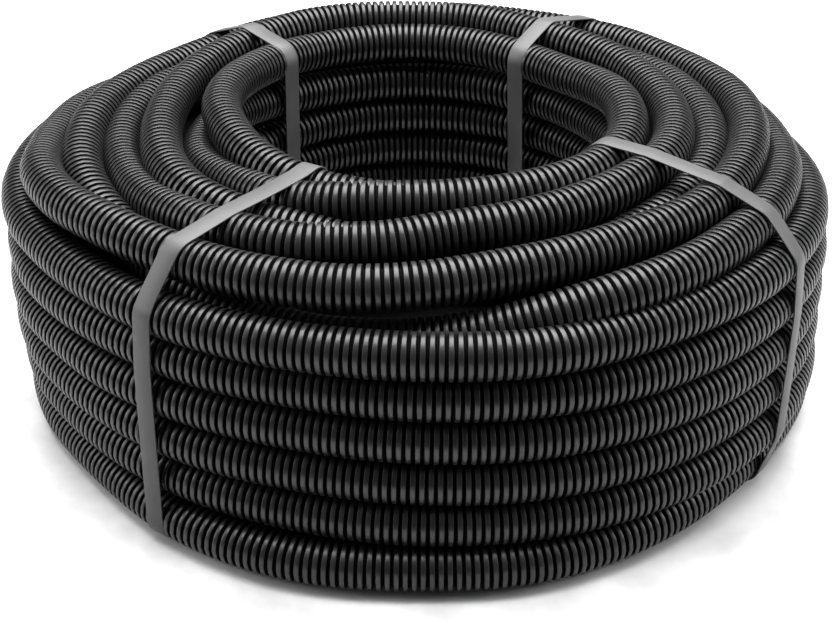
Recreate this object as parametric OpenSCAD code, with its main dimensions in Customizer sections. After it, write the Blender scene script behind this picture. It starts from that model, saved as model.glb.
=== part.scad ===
// Coil of corrugated conduit held together by four flat straps.
// Millimetres, +Z up. The origin is on the floor at the middle of the eye.
// +X is to the right and +Y to the back as the coil lies.

/* [Conduit] */
// Outside diameter over the ribs of the corrugated tube
conduit_diameter = 25; // [20:0.5:30]

/* [Coil] */
// Radius of the innermost layer, from the middle of the eye to the middle of the tube
inner_layer_radius = 130; // [90:1:240]
// Distance across the wall from the innermost layer to the second
second_layer_step = 25; // [22:0.5:28]
// Distance from the second layer to the third
third_layer_step = 23; // [20:0.5:26]
// Distance from the third layer to the fourth
fourth_layer_step = 21; // [18:0.5:24]
// Distance from the fourth layer to the fifth
fifth_layer_step = 24; // [21:0.5:27]
// Distance from the fifth layer to the outermost, which stands lower
outermost_layer_step = 17; // [14:0.5:20]
// Turns one on another in the innermost layer
innermost_rows = 7; // [6:1:9]
// Turns one on another in the outermost layer
outermost_rows = 6; // [5:1:8]
// Height from one turn of the outermost layer to the turn resting on it
row_step = 24; // [21:0.1:26]
// How far the lowest turns of the lifted layers lie in the hollows above the others
hollow_lift = 12; // [8:0.5:16]

/* [Dome] */
// How much higher the top turn of the innermost layer lies than that of the outermost
innermost_rise = 35.5; // [25:0.5:45]
// The same for the second layer
second_rise = 34; // [25:0.5:45]
// The same for the third layer, which has sunk between its neighbours
third_rise = 19; // [10:0.5:30]
// The same for the fourth layer
fourth_rise = 26.5; // [18:0.5:34]
// The same for the fifth layer
fifth_rise = 17; // [8:0.5:24]

/* [Straps] */
// Width of a strap
strap_width = 12; // [6:0.5:16]
// Thickness of a strap
strap_thickness = 0.8; // [0.5:0.1:1.5]
// Room between a strap and the ribs it goes round
strap_clearance = 0.15; // [0.05:0.05:0.3]
// Length of the welded lap, where one end lies on the other
lap_length = 38; // [20:1:60]
// Height of the lower edge of the lap
lap_height = 24; // [10:1:40]
// Directions of the straps about the upright axis, from +X towards +Y
strap_back_right_angle = 53; // [30:1:75]
strap_back_left_angle = 135; // [110:1:160]
strap_front_left_angle = 237; // [215:1:255]
strap_front_right_angle = 321; // [295:1:340]

/* [Hidden] */
$fn = 96;
conduit_radius = conduit_diameter / 2;
quarter_turn = 90;
lowest_row = strap_thickness + strap_clearance + conduit_radius;
outermost_top = lowest_row + (outermost_rows - 1) * row_step;
// The layers from the eye outwards: radius, height of the lowest turn and of the top turn.
layer_radius = [
    inner_layer_radius,
    inner_layer_radius + second_layer_step,
    inner_layer_radius + second_layer_step + third_layer_step,
    inner_layer_radius + second_layer_step + third_layer_step + fourth_layer_step,
    inner_layer_radius + second_layer_step + third_layer_step + fourth_layer_step
        + fifth_layer_step,
    inner_layer_radius + second_layer_step + third_layer_step + fourth_layer_step
        + fifth_layer_step + outermost_layer_step];
layer_bottom = [lowest_row, lowest_row + hollow_lift, lowest_row, lowest_row + hollow_lift,
                lowest_row + hollow_lift, lowest_row];
layer_top = [outermost_top + innermost_rise, outermost_top + second_rise,
             outermost_top + third_rise, outermost_top + fourth_rise,
             outermost_top + fifth_rise, outermost_top];
last_layer = len(layer_radius) - 1;
// Largest turn in degrees between two flats of a strap's bend.
bend_step = 5;

function lowest_turn(layer) = [layer_radius[layer], layer_bottom[layer]];
function top_turn(layer) = [layer_radius[layer], layer_top[layer]];
// The turns one on another in a layer, evenly spaced from its lowest to its top turn.
function stacked_turns(layer, rows) =
    [for (row = [0:rows - 1])
        lowest_turn(layer) + (top_turn(layer) - lowest_turn(layer)) * row / (rows - 1)];

function direction(from, to) = atan2(to[1] - from[1], to[0] - from[0]);

// The next layer outwards whose top turn a strap touches, pulled tight over the dome:
// the one that stands highest as seen along the strap. Turns that have sunk are bridged.
function next_touched(layer) =
    let (slopes = [for (later = [layer + 1:last_layer])
                   direction(top_turn(layer), top_turn(later))])
    layer + 1 + search(max(slopes), slopes)[0];
function touched_layers(layer) =
    layer == last_layer ? [layer] : concat([layer], touched_layers(next_touched(layer)));

// The turns a strap bends round, in order: up the eye, over the dome, down the outside.
strap_turns = concat([lowest_turn(0)], [for (layer = touched_layers(0)) top_turn(layer)],
                     [lowest_turn(last_layer)]);

module turn_section(middle) {
    translate(middle) circle(r = conduit_radius);
}

// Half of the wall of the coil cut through: every turn that shows, in the eye, on the
// outside, on the dome and underneath, and one plain core between them.
module wall_section() {
    for (middle = stacked_turns(0, innermost_rows)) turn_section(middle);
    for (middle = stacked_turns(last_layer, outermost_rows)) turn_section(middle);
    for (layer = [1:last_layer - 1]) {
        turn_section(lowest_turn(layer));
        turn_section(top_turn(layer));
    }
    polygon(concat([for (layer = [0:last_layer]) lowest_turn(layer)],
                   [for (layer = [last_layer:-1:0]) top_turn(layer)]));
}

// The points of a bend round one turn, at a distance from the middle of its tube.
function bend_points(before, at, after, reach) =
    let (first = direction(before, at) + quarter_turn,
         last = direction(at, after) + quarter_turn,
         sweep = (first - last + 360) % 360, parts = ceil(sweep / bend_step))
    [for (part = [0:parts])
        at + reach * [cos(first - sweep * part / parts), sin(first - sweep * part / parts)]];

// The bends of a loop drawn round all the turns the strap goes round, one list to a turn.
function loop_bends(reach) =
    let (count = len(strap_turns))
    [for (turn = [0:count - 1])
        bend_points(strap_turns[(turn + count - 1) % count], strap_turns[turn],
                    strap_turns[(turn + 1) % count], reach)];

// The step of the welded lap, on the run that comes down the outside of the coil.
function lap_points(face) =
    [[face, lap_height + lap_length], [face + strap_thickness, lap_height + lap_length],
     [face + strap_thickness, lap_height], [face, lap_height]];

// The closed loop of a strap in the section of the wall, with its welded lap outside.
module strap_section() {
    inner_reach = conduit_radius + strap_clearance;
    outer_reach = inner_reach + strap_thickness;
    outer_bends = loop_bends(outer_reach);
    difference() {
        polygon([for (turn = [0:len(outer_bends) - 2]) each outer_bends[turn],
                 each lap_points(layer_radius[last_layer] + outer_reach),
                 each outer_bends[len(outer_bends) - 1]]);
        polygon([for (bend = loop_bends(inner_reach)) each bend]);
    }
}

module strap(angle) {
    color([0.62, 0.62, 0.61]) rotate([0, 0, angle]) rotate([quarter_turn, 0, 0])
        translate([0, 0, -strap_width / 2])
            linear_extrude(height = strap_width) strap_section();
}

module conduit() {
    color([0.06, 0.06, 0.065]) rotate_extrude() wall_section();
}

module strap_back_right() { strap(strap_back_right_angle); }
module strap_back_left() { strap(strap_back_left_angle); }
module strap_front_left() { strap(strap_front_left_angle); }
module strap_front_right() { strap(strap_front_right_angle); }

conduit();
strap_back_right();
strap_back_left();
strap_front_left();
strap_front_right();
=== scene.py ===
import bpy
import bmesh
import math
import numpy as np
from mathutils import Vector, Matrix


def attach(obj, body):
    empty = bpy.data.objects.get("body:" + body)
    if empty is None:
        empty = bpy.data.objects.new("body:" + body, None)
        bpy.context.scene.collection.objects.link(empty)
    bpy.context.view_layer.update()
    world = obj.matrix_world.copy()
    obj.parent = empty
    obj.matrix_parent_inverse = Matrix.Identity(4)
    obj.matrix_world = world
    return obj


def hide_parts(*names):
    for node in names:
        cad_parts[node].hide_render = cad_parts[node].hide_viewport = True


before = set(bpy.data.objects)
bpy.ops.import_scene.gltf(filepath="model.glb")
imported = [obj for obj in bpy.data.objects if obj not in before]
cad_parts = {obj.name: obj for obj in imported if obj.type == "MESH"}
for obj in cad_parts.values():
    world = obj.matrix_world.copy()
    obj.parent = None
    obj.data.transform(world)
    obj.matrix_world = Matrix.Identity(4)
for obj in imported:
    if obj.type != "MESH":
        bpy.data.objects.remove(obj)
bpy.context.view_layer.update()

MM = 0.001

# ---------------------------------------------------------------- sizes, in millimetres
TUBE_RADIUS = 12.5
GROOVE_RADIUS = 9.7
RIB_PITCH = 4.55
LOWEST_ROW = 13.2
ROW_STEP = 24.0
STRAP_WIDTH = 12.0
STRAP_THICKNESS = 0.8
# direction of each strap in the eye, at the top of the outside, and at the floor
STRAP_ANGLES = {"strap_back_right": (53.3, 52, 53), "strap_back_left": (136.5, 136, 135),
                "strap_front_left": (240, 234.3, 235.8), "strap_front_right": (323.3, 326.6, 321.8)}

# a face of the corrugation that reaches below this radius lies in a hollow and gets the painted
# shade
PAINTED_SHADE_BELOW = 12
ONE_TURN, TWO_TURNS = 360, 720
# flats round the tube, fewer where less of it is seen
TOP_SIDES, WALL_SIDES, EYE_SIDES = 20, 16, 12
# the straps' lean goes from its value in the eye to that on the outside between these radii,
# and from its value on the floor to that on top between these heights
LEAN_RADIUS, LEAN_ACROSS = 130, 105
LEAN_HEIGHT, LEAN_RISE = 15, 90
STRAP_ROOM = 0.1
FLOOR_ROOM = 0.05
STRAP_FACE = 4
POINTS_ROUND_TUBE = 72

# the corrugation along one pitch: place on the pitch, and radius
RIB_SHAPE = [(0.00, GROOVE_RADIUS), (0.22, GROOVE_RADIUS), (0.33, 12.1), (0.40, TUBE_RADIUS),
             (0.82, TUBE_RADIUS), (0.89, 12.1)]

# ---------------------------------------------------------------- how the turns lie
# each length of conduit is a run of stations: angle round the coil, radius, height
INNER_TURNS = [
    (240, 139, 164), (250, 137, 167), (262, 133, 169), (275, 131, 169), (290, 132, 169),
    (305, 134, 169), (320, 135, 169), (335, 133, 169), (350, 129, 170), (365, 125, 169.5),
    (380, 121, 166), (392, 119, 163), (405, 121, 161), (420, 126, 160.5), (435, 131, 160.5),
    (450, 134, 160.5), (465, 135, 160.5), (480, 134, 161), (495, 129, 164), (510, 124, 167),
    (525, 121, 170), (540, 120, 171), (560, 118, 171), (580, 120, 169), (595, 121, 166),
    (605, 119, 163), (615, 116, 161), (626, 114, 158), (640, 119, 152), (655, 127, 147),
    (670, 131, 144), (690, 132, 142), (720, 130, 139), (750, 127, 135), (780, 131, 132),
    (810, 135, 131), (840, 134, 132), (865, 132, 138), (885, 131, 144), (900, 131, 148),
    (920, 136, 152), (935, 135, 156), (947, 136, 160)]
SECOND_TURNS = [
    (240, 182, 163), (250, 180, 164), (257, 175, 164.5), (265, 170, 165), (275, 163, 166.5),
    (290, 161, 168), (305, 158.5, 168), (320, 158, 168), (335, 159, 168), (350, 156.5, 168),
    (365, 153.5, 168), (380, 151.5, 168), (395, 150, 168.5), (414, 147.5, 169), (434, 155, 169.5),
    (450, 156, 169.5), (469, 160, 169.5), (480, 160, 169.5), (500, 156, 168.5), (520, 154, 167.5),
    (540, 153.5, 167), (555, 157, 167), (570, 163, 165.5), (582, 166, 164), (595, 162, 160),
    (610, 154, 155), (623, 156, 151), (635, 163, 146), (650, 172, 146), (665, 176, 149),
    (680, 178, 153), (700, 179, 156), (720, 179, 157), (735, 180, 156), (750, 181, 154),
    (765, 180, 151), (780, 177, 147), (810, 174, 145), (840, 175, 146), (860, 177, 149),
    (880, 180, 153), (900, 181, 153), (920, 180, 153), (935, 181, 156), (947, 182, 160)]
THIRD_TURNS = [
    (240, 209, 157.5), (250, 208, 158), (260, 206, 158), (270, 202, 159), (277, 198, 159.5),
    (284, 195, 160), (292, 194, 160.5), (301, 193, 160.5), (310, 195, 161), (320, 198, 161),
    (330, 199, 161), (340, 200, 161.5), (350, 201.5, 162), (360, 203, 162), (370, 203, 161.5),
    (380, 201, 160), (392, 199, 158.5), (405, 198, 158), (420, 191, 158), (435, 189, 158),
    (450, 190, 157.5), (480, 190, 157), (500, 188, 157), (510, 190, 157), (520, 193, 158),
    (530, 197, 159), (540, 200, 160), (550, 203, 158), (560, 205, 155), (570, 203.5, 150),
    (580, 200, 143), (590, 201, 136), (600, 202, 130), (612, 204, 126), (624, 205.5, 127),
    (634, 208, 131), (643, 212, 138), (650, 216, 144), (660, 220, 149.5), (670, 221, 151),
    (680, 221, 151.5), (690, 221.5, 151), (700, 221.5, 150), (710, 222, 147.5), (720, 222, 144),
    (730, 223.5, 141), (740, 225, 138), (755, 223, 135), (780, 218, 131), (810, 213, 127),
    (840, 212, 128), (860, 213, 133), (870, 215, 138), (880, 219, 143), (890, 221, 147.5),
    (900, 221.5, 151.5), (910, 224, 156), (920, 228, 160), (930, 225, 161), (940, 218, 161),
    (950, 212, 159)]
SHOULDER_TURN = [
    (0, 237.5, 128), (10, 237, 124.5), (20, 238.5, 122.5), (40, 239, 122), (90, 238, 122),
    (140, 237.5, 126), (160, 238, 129.5), (170, 238.5, 132), (180, 240, 134), (190, 241.5, 134.5),
    (200, 240, 134), (210, 235, 133.5), (220, 231, 133), (230, 229, 133), (240, 227, 133),
    (256, 225, 133), (270, 226, 133), (285, 230.5, 133), (300, 231, 133), (310, 233, 133),
    (320, 236.5, 133), (330, 238, 132.5), (340, 239.5, 132), (350, 239, 130.5)]
WALL_ANGLES = [0, 45, 90, 135, 180, 205, 216, 225, 240, 255, 270, 285, 300, 320, 340]
WALL_ROWS = [
    [242, 240, 240, 240, 240, 239, 236.5, 237, 243, 246, 245, 247, 244.5, 240.5, 244],
    [243, 240, 239, 239, 241, 240, 237, 236, 235, 234.5, 237, 240, 243, 246, 246],
    [242.5, 239, 238, 239, 242, 242, 239, 237, 234, 231, 233, 237, 240, 242, 244],
    [242, 238, 237, 238, 242, 242, 238, 236, 231, 228, 230, 234, 237, 241, 243],
    [241, 238, 236, 238, 241, 240, 236, 232, 228, 224.5, 227, 231, 234, 238, 242]]
EYE_ROW_HEIGHTS = [13.2, 34, 57, 81, 106]
EYE_RADIUS = 134


def wall_stations():
    """The rows one on another outside: all but the lowest climb a little to the left."""
    return [[(a, r, LOWEST_ROW + ROW_STEP * row - (2.5 if row else 0) * math.cos(math.radians(a)))
             for a, r in zip(WALL_ANGLES, radii)] for row, radii in enumerate(WALL_ROWS)]


def tidy(piece):
    for face in piece.data.polygons:
        face.use_smooth = True
    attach(piece, "root")


def new_piece(name, shell, material):
    mesh = bpy.data.meshes.new(name)
    shell.to_mesh(mesh)
    shell.free()
    piece = bpy.data.objects.new(name, mesh)
    bpy.context.scene.collection.objects.link(piece)
    mesh.materials.append(material)
    return piece


def smooth_loop(stations, span):
    """A closed run through the stations, as points about a millimetre apart."""
    angle = np.array([s[0] for s in stations], float)
    radius_height = np.array([s[1:] for s in stations], float)
    points_per_degree = 3
    fine = np.linspace(angle[0], angle[0] + span, int(span * points_per_degree) + 1)[:-1]
    out = np.zeros((len(fine), 2))
    # the run before and the run after close the loop smoothly
    ring = np.concatenate([angle - span, angle, angle + span])
    vals = np.concatenate([radius_height] * 3)
    slope = np.zeros_like(vals)
    slope[1:-1] = (vals[2:] - vals[:-2]) / (ring[2:] - ring[:-2])[:, None]
    for k, a in enumerate(fine):
        i = np.searchsorted(ring, a, side="right") - 1
        h = ring[i + 1] - ring[i]
        t = (a - ring[i]) / h
        out[k] = ((2 * t**3 - 3 * t**2 + 1) * vals[i] + (t**3 - 2 * t**2 + t) * h * slope[i]
                  + (-2 * t**3 + 3 * t**2) * vals[i + 1] + (t**3 - t**2) * h * slope[i + 1])
    turn = np.radians(fine)
    return np.stack([out[:, 0] * np.cos(turn), out[:, 0] * np.sin(turn), out[:, 1]], 1)


def corrugated_loop(name, route, sides):
    """One rib is made and repeated in a row, and the row is laid along the route."""
    ahead = np.roll(route, -1, 0) - route
    step = np.linalg.norm(ahead, axis=1)
    length = step.sum()
    ribs = int(round(length / RIB_PITCH))
    pitch = length / ribs
    rib = bmesh.new()
    first = bmesh.ops.create_circle(rib, cap_ends=False, segments=sides,
                                  radius=RIB_SHAPE[0][1])
    bmesh.ops.rotate(rib, verts=first["verts"], matrix=Matrix.Rotation(math.pi / 2, 3, "Y"))
    edges = list(rib.edges)
    rest_of_rib = RIB_SHAPE[1:] + [(1.0, RIB_SHAPE[0][1])]
    for (at, radius), (at_before, radius_before) in zip(rest_of_rib, RIB_SHAPE):
        grown = bmesh.ops.extrude_edge_only(rib, edges=edges)["geom"]
        # faces deep in a groove take material index 1, the painted shade
        for face in [g for g in grown if isinstance(g, bmesh.types.BMFace)]:
            face.material_index = 1 if min(radius, radius_before) < PAINTED_SHADE_BELOW else 0
        verts = [g for g in grown if isinstance(g, bmesh.types.BMVert)]
        edges = [g for g in grown if isinstance(g, bmesh.types.BMEdge)
                 and all(v in verts for v in g.verts)]
        k = radius / radius_before
        bmesh.ops.scale(rib, verts=verts, vec=(1, k, k))
        bmesh.ops.translate(rib, verts=verts, vec=((at - at_before) * pitch, 0, 0))
    piece = new_piece(name, rib, black)
    piece.data.materials.append(painted_hollow_shade)
    row = piece.modifiers.new("ribs", "ARRAY")
    row.use_relative_offset = False
    row.use_constant_offset = True
    row.constant_offset_displace = (pitch, 0, 0)
    row.count = ribs
    row.use_merge_vertices = True
    row.merge_threshold = 0.01
    graph = bpy.context.evaluated_depsgraph_get()
    straight = bpy.data.meshes.new_from_object(piece.evaluated_get(graph))
    piece.modifiers.clear()
    place = np.empty(len(straight.vertices) * 3)
    straight.vertices.foreach_get("co", place)
    place = place.reshape(-1, 3)
    along = np.concatenate([[0], np.cumsum(step)])
    closed = np.vstack([route, route[:1]])
    heading = np.roll(route, -1, 0) - np.roll(route, 1, 0)
    heading = np.vstack([heading, heading[:1]])
    s = np.clip(place[:, 0], 0, length)
    centre = np.stack([np.interp(s, along, closed[:, k]) for k in range(3)], 1)
    ahead = np.stack([np.interp(s, along, heading[:, k]) for k in range(3)], 1)
    ahead /= np.linalg.norm(ahead, axis=1)[:, None]
    side = np.cross(np.array([0.0, 0, 1]), ahead)
    side /= np.linalg.norm(side, axis=1)[:, None]
    rise = np.cross(ahead, side)
    place = (centre + place[:, 1:2] * side + place[:, 2:3] * rise) * MM
    straight.vertices.foreach_set("co", place.ravel())
    whole = bmesh.new()
    whole.from_mesh(straight)
    bmesh.ops.remove_doubles(whole, verts=whole.verts, dist=0.02 * MM)
    bmesh.ops.recalc_face_normals(whole, faces=whole.faces)
    whole.to_mesh(straight)
    whole.free()
    old = piece.data
    piece.data = straight
    bpy.data.meshes.remove(old)
    flat = piece.modifiers.new("flat crests", "WEIGHTED_NORMAL")
    flat.weight = 80
    tidy(piece)
    return piece


def plastic(name, colour, roughness, grain, depth, shine=0.5):
    material = bpy.data.materials.new(name)
    material.use_nodes = True
    nodes, links = material.node_tree.nodes, material.node_tree.links
    shader = nodes["Principled BSDF"]
    shader.inputs["Specular IOR Level"].default_value = shine
    where = nodes.new("ShaderNodeTexCoord")
    cloud = nodes.new("ShaderNodeTexNoise")
    cloud.inputs["Scale"].default_value = 22
    cloud.inputs["Detail"].default_value = 6
    links.new(where.outputs["Object"], cloud.inputs["Vector"])
    tone = nodes.new("ShaderNodeValToRGB")
    tone.color_ramp.elements[0].position = 0.3
    tone.color_ramp.elements[1].position = 0.75
    tone.color_ramp.elements[0].color = (*[c * 0.8 for c in colour], 1)
    tone.color_ramp.elements[1].color = (*[c * 1.25 for c in colour], 1)
    links.new(cloud.outputs["Fac"], tone.inputs["Fac"])
    links.new(tone.outputs["Color"], shader.inputs["Base Color"])
    gloss = nodes.new("ShaderNodeMapRange")
    gloss.inputs["To Min"].default_value = roughness - 0.05
    gloss.inputs["To Max"].default_value = roughness + 0.07
    links.new(cloud.outputs["Fac"], gloss.inputs["Value"])
    links.new(gloss.outputs["Result"], shader.inputs["Roughness"])
    fine = nodes.new("ShaderNodeTexNoise")
    fine.inputs["Scale"].default_value = grain
    fine.inputs["Detail"].default_value = 3
    links.new(where.outputs["Object"], fine.inputs["Vector"])
    bump = nodes.new("ShaderNodeBump")
    bump.inputs["Distance"].default_value = depth
    bump.inputs["Strength"].default_value = 0.5
    links.new(fine.outputs["Fac"], bump.inputs["Height"])
    links.new(bump.outputs["Normal"], shader.inputs["Normal"])
    return material


black = plastic("black conduit plastic", (0.016, 0.016, 0.0165), 0.36, 900, 0.0001)
# painted shade: a near-black, dull colour with almost no shine for the groove floors and the inner
# ring, standing in for the shadow there
painted_hollow_shade = plastic("painted shade in the conduit hollows", (0.004, 0.004, 0.004),
                       0.8, 900, 0.0001, shine=0.05)
grey = plastic("grey strap plastic", (0.085, 0.085, 0.086), 0.5, 700, 0.0001)

# ---------------------------------------------------------------- the turns of conduit
turns = [corrugated_loop(name, smooth_loop(stations, TWO_TURNS), TOP_SIDES)
         for name, stations in (("turns_inner", INNER_TURNS), ("turns_second", SECOND_TURNS),
                                ("turns_third", THIRD_TURNS))]
turns.append(corrugated_loop("turn_shoulder", smooth_loop(SHOULDER_TURN, ONE_TURN), TOP_SIDES))
for number, stations in enumerate(wall_stations(), 1):
    turns.append(corrugated_loop("turn_wall_%d" % number, smooth_loop(stations, ONE_TURN),
                                 WALL_SIDES))
for number, height in enumerate(EYE_ROW_HEIGHTS, 1):
    stations = [(a, EYE_RADIUS, height) for a in range(0, ONE_TURN, 30)]
    turns.append(corrugated_loop("turn_eye_%d" % number, smooth_loop(stations, ONE_TURN),
                                 EYE_SIDES))

# the turns wound inside the stack: one plain ring that fills the space behind the others, coloured
# with the painted shade so the gaps between strands show black
inside = bmesh.new()
outline = [(138, 6), (236, 6), (232, 30), (222, 102), (206, 112), (190, 128), (170, 132), (150, 132),
           (139, 124)]
corners = [inside.verts.new((r * MM, 0, z * MM)) for r, z in outline]
for k in range(len(corners)):
    inside.edges.new((corners[k], corners[(k + 1) % len(corners)]))
bmesh.ops.spin(inside, geom=list(inside.verts) + list(inside.edges), cent=(0, 0, 0), axis=(0, 0, 1),
               angle=2 * math.pi, steps=96, use_merge=True)
bmesh.ops.recalc_face_normals(inside, faces=inside.faces)
inner_pack = new_piece("turns_inside", inside, painted_hollow_shade)
tidy(inner_pack)
turns.append(inner_pack)
for piece in turns:
    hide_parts("conduit")


# ---------------------------------------------------------------- the straps
def strands_at(stations, angle, span):
    """The radius and height of each strand that passes this direction."""
    route = smooth_loop(stations, span)
    turn = np.degrees(np.arctan2(route[:, 1], route[:, 0])) % 360
    hits = [k for k in range(len(route)) if abs((turn[k] - angle + 180) % 360 - 180) < 0.2]
    found = []
    for k in hits:
        spot = (float(np.hypot(route[k, 0], route[k, 1])), float(route[k, 2]))
        if all(math.dist(spot, other) > 3 for other in found):
            found.append(spot)
    return found


def hull(points):
    """The points that a tight band round them all would touch."""
    points = sorted(set(points))
    def half(run):
        out = []
        for p in run:
            while len(out) > 1 and ((out[-1][0] - out[-2][0]) * (p[1] - out[-2][1])
                                    - (out[-1][1] - out[-2][1]) * (p[0] - out[-2][0])) <= 1e-9:
                out.pop()
            out.append(p)
        return out[:-1]
    return half(points) + half(points[::-1])


def strap(name, in_eye, at_top, at_floor):
    """A band pulled tight round the strands it crosses, leaning as it goes round."""
    def lean(r, z):
        across = min(max((r - LEAN_RADIUS) / LEAN_ACROSS, 0), 1)
        low = at_floor + (in_eye - at_floor) * (1 - across)
        high = in_eye + (at_top - in_eye) * across
        return low + (high - low) * min(max((z - LEAN_HEIGHT) / LEAN_RISE, 0), 1)

    spots = []
    for share, stations, span in ((0, INNER_TURNS, TWO_TURNS), (0.4, SECOND_TURNS, TWO_TURNS),
                                  (0.75, THIRD_TURNS, TWO_TURNS), (1, SHOULDER_TURN, ONE_TURN)):
        spots += strands_at(stations, in_eye + (at_top - in_eye) * share, span)
    for stations in wall_stations():
        spots += strands_at(stations, at_top, ONE_TURN)
    spots += [(EYE_RADIUS, h) for h in EYE_ROW_HEIGHTS]
    reach = TUBE_RADIUS + STRAP_ROOM
    points = []
    for r, z in spots:
        for k in range(POINTS_ROUND_TUBE):
            a = 2 * math.pi * k / POINTS_ROUND_TUBE
            points.append((r + reach * math.cos(a),
                           max(z + reach * math.sin(a), STRAP_THICKNESS + FLOOR_ROOM)))
    loop = hull(points)
    run = []
    for k in range(len(loop)):
        p, q = loop[k], loop[(k + 1) % len(loop)]
        parts = max(1, int(math.dist(p, q) / STRAP_FACE))
        run += [(p[0] + (q[0] - p[0]) * j / parts, p[1] + (q[1] - p[1]) * j / parts)
                for j in range(parts)]
    band = bmesh.new()
    verts = [band.verts.new((r, -STRAP_WIDTH / 2, z)) for r, z in run]
    edges = [band.edges.new((verts[k], verts[(k + 1) % len(verts)])) for k in range(len(verts))]
    grown = bmesh.ops.extrude_edge_only(band, edges=edges)["geom"]
    bmesh.ops.translate(band, verts=[g for g in grown if isinstance(g, bmesh.types.BMVert)],
                        vec=(0, STRAP_WIDTH, 0))
    bmesh.ops.recalc_face_normals(band, faces=band.faces)
    middle = Vector((185, 0, 90))
    far = max(band.faces, key=lambda f: (f.calc_center_median() - middle).length)
    if far.normal.dot(far.calc_center_median() - middle) < 0:
        bmesh.ops.reverse_faces(band, faces=band.faces)
    for vert in band.verts:
        turned = math.radians(lean(vert.co.x, vert.co.z))
        vert.co = Matrix.Rotation(turned, 3, "Z") @ vert.co * MM
    piece = new_piece(name + "_band", band, grey)
    thick = piece.modifiers.new("thickness", "SOLIDIFY")
    thick.thickness = STRAP_THICKNESS * MM
    thick.offset = 1
    edge = piece.modifiers.new("soft edges", "BEVEL")
    edge.width = 0.2 * MM
    edge.segments = 2
    edge.limit_method = "ANGLE"
    tidy(piece)
    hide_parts(name)
    return piece


for name, angles in STRAP_ANGLES.items():
    strap(name, *angles)

# ---------------------------------------------------------------- floor, light and camera
ground = bmesh.new()
bmesh.ops.create_grid(ground, x_segments=1, y_segments=1, size=12)
pale = plastic("pale floor", (0.8, 0.8, 0.8), 0.8, 60, 0.00002)
floor = new_piece("floor", ground, pale)
floor.visible_diffuse = False

sky = bpy.data.worlds.new("studio")
sky.use_nodes = True
sky.node_tree.nodes["Background"].inputs["Color"].default_value = (1, 1, 1, 1)
sky.node_tree.nodes["Background"].inputs["Strength"].default_value = 0.06
bpy.context.scene.world = sky


def softbox(name, place, aim, width, height, power):
    lamp = bpy.data.lights.new(name, "AREA")
    lamp.shape = "RECTANGLE"
    lamp.size, lamp.size_y, lamp.energy = width, height, power
    box = bpy.data.objects.new(name, lamp)
    box.location = place
    box.rotation_euler = (Vector(aim) - Vector(place)).to_track_quat("-Z", "Y").to_euler()
    bpy.context.scene.collection.objects.link(box)


softbox("overhead softbox", (0, 0.5, 1.8), (0, 0, 0), 2.2, 1.8, 130)
softbox("left softbox", (-1.9, -0.1, 1.0), (0, 0, 0.1), 1.2, 1.2, 22)
softbox("right softbox", (1.9, -0.1, 1.0), (0, 0, 0.1), 1.2, 1.2, 22)

lens = bpy.data.cameras.new("camera")
lens.sensor_width = 36
lens.lens = 59.82
lens.shift_x = 0.0012
lens.shift_y = -0.0169
lens.clip_end = 50
eye = bpy.data.objects.new("camera", lens)
eye.location = (0, -0.7962, 0.5085)
eye.rotation_euler = (math.pi / 2 - 0.5399, 0, 0)
bpy.context.scene.collection.objects.link(eye)
bpy.context.scene.camera = eye
bpy.context.scene.view_settings.view_transform = "Standard"

bpy.context.view_layer.update()
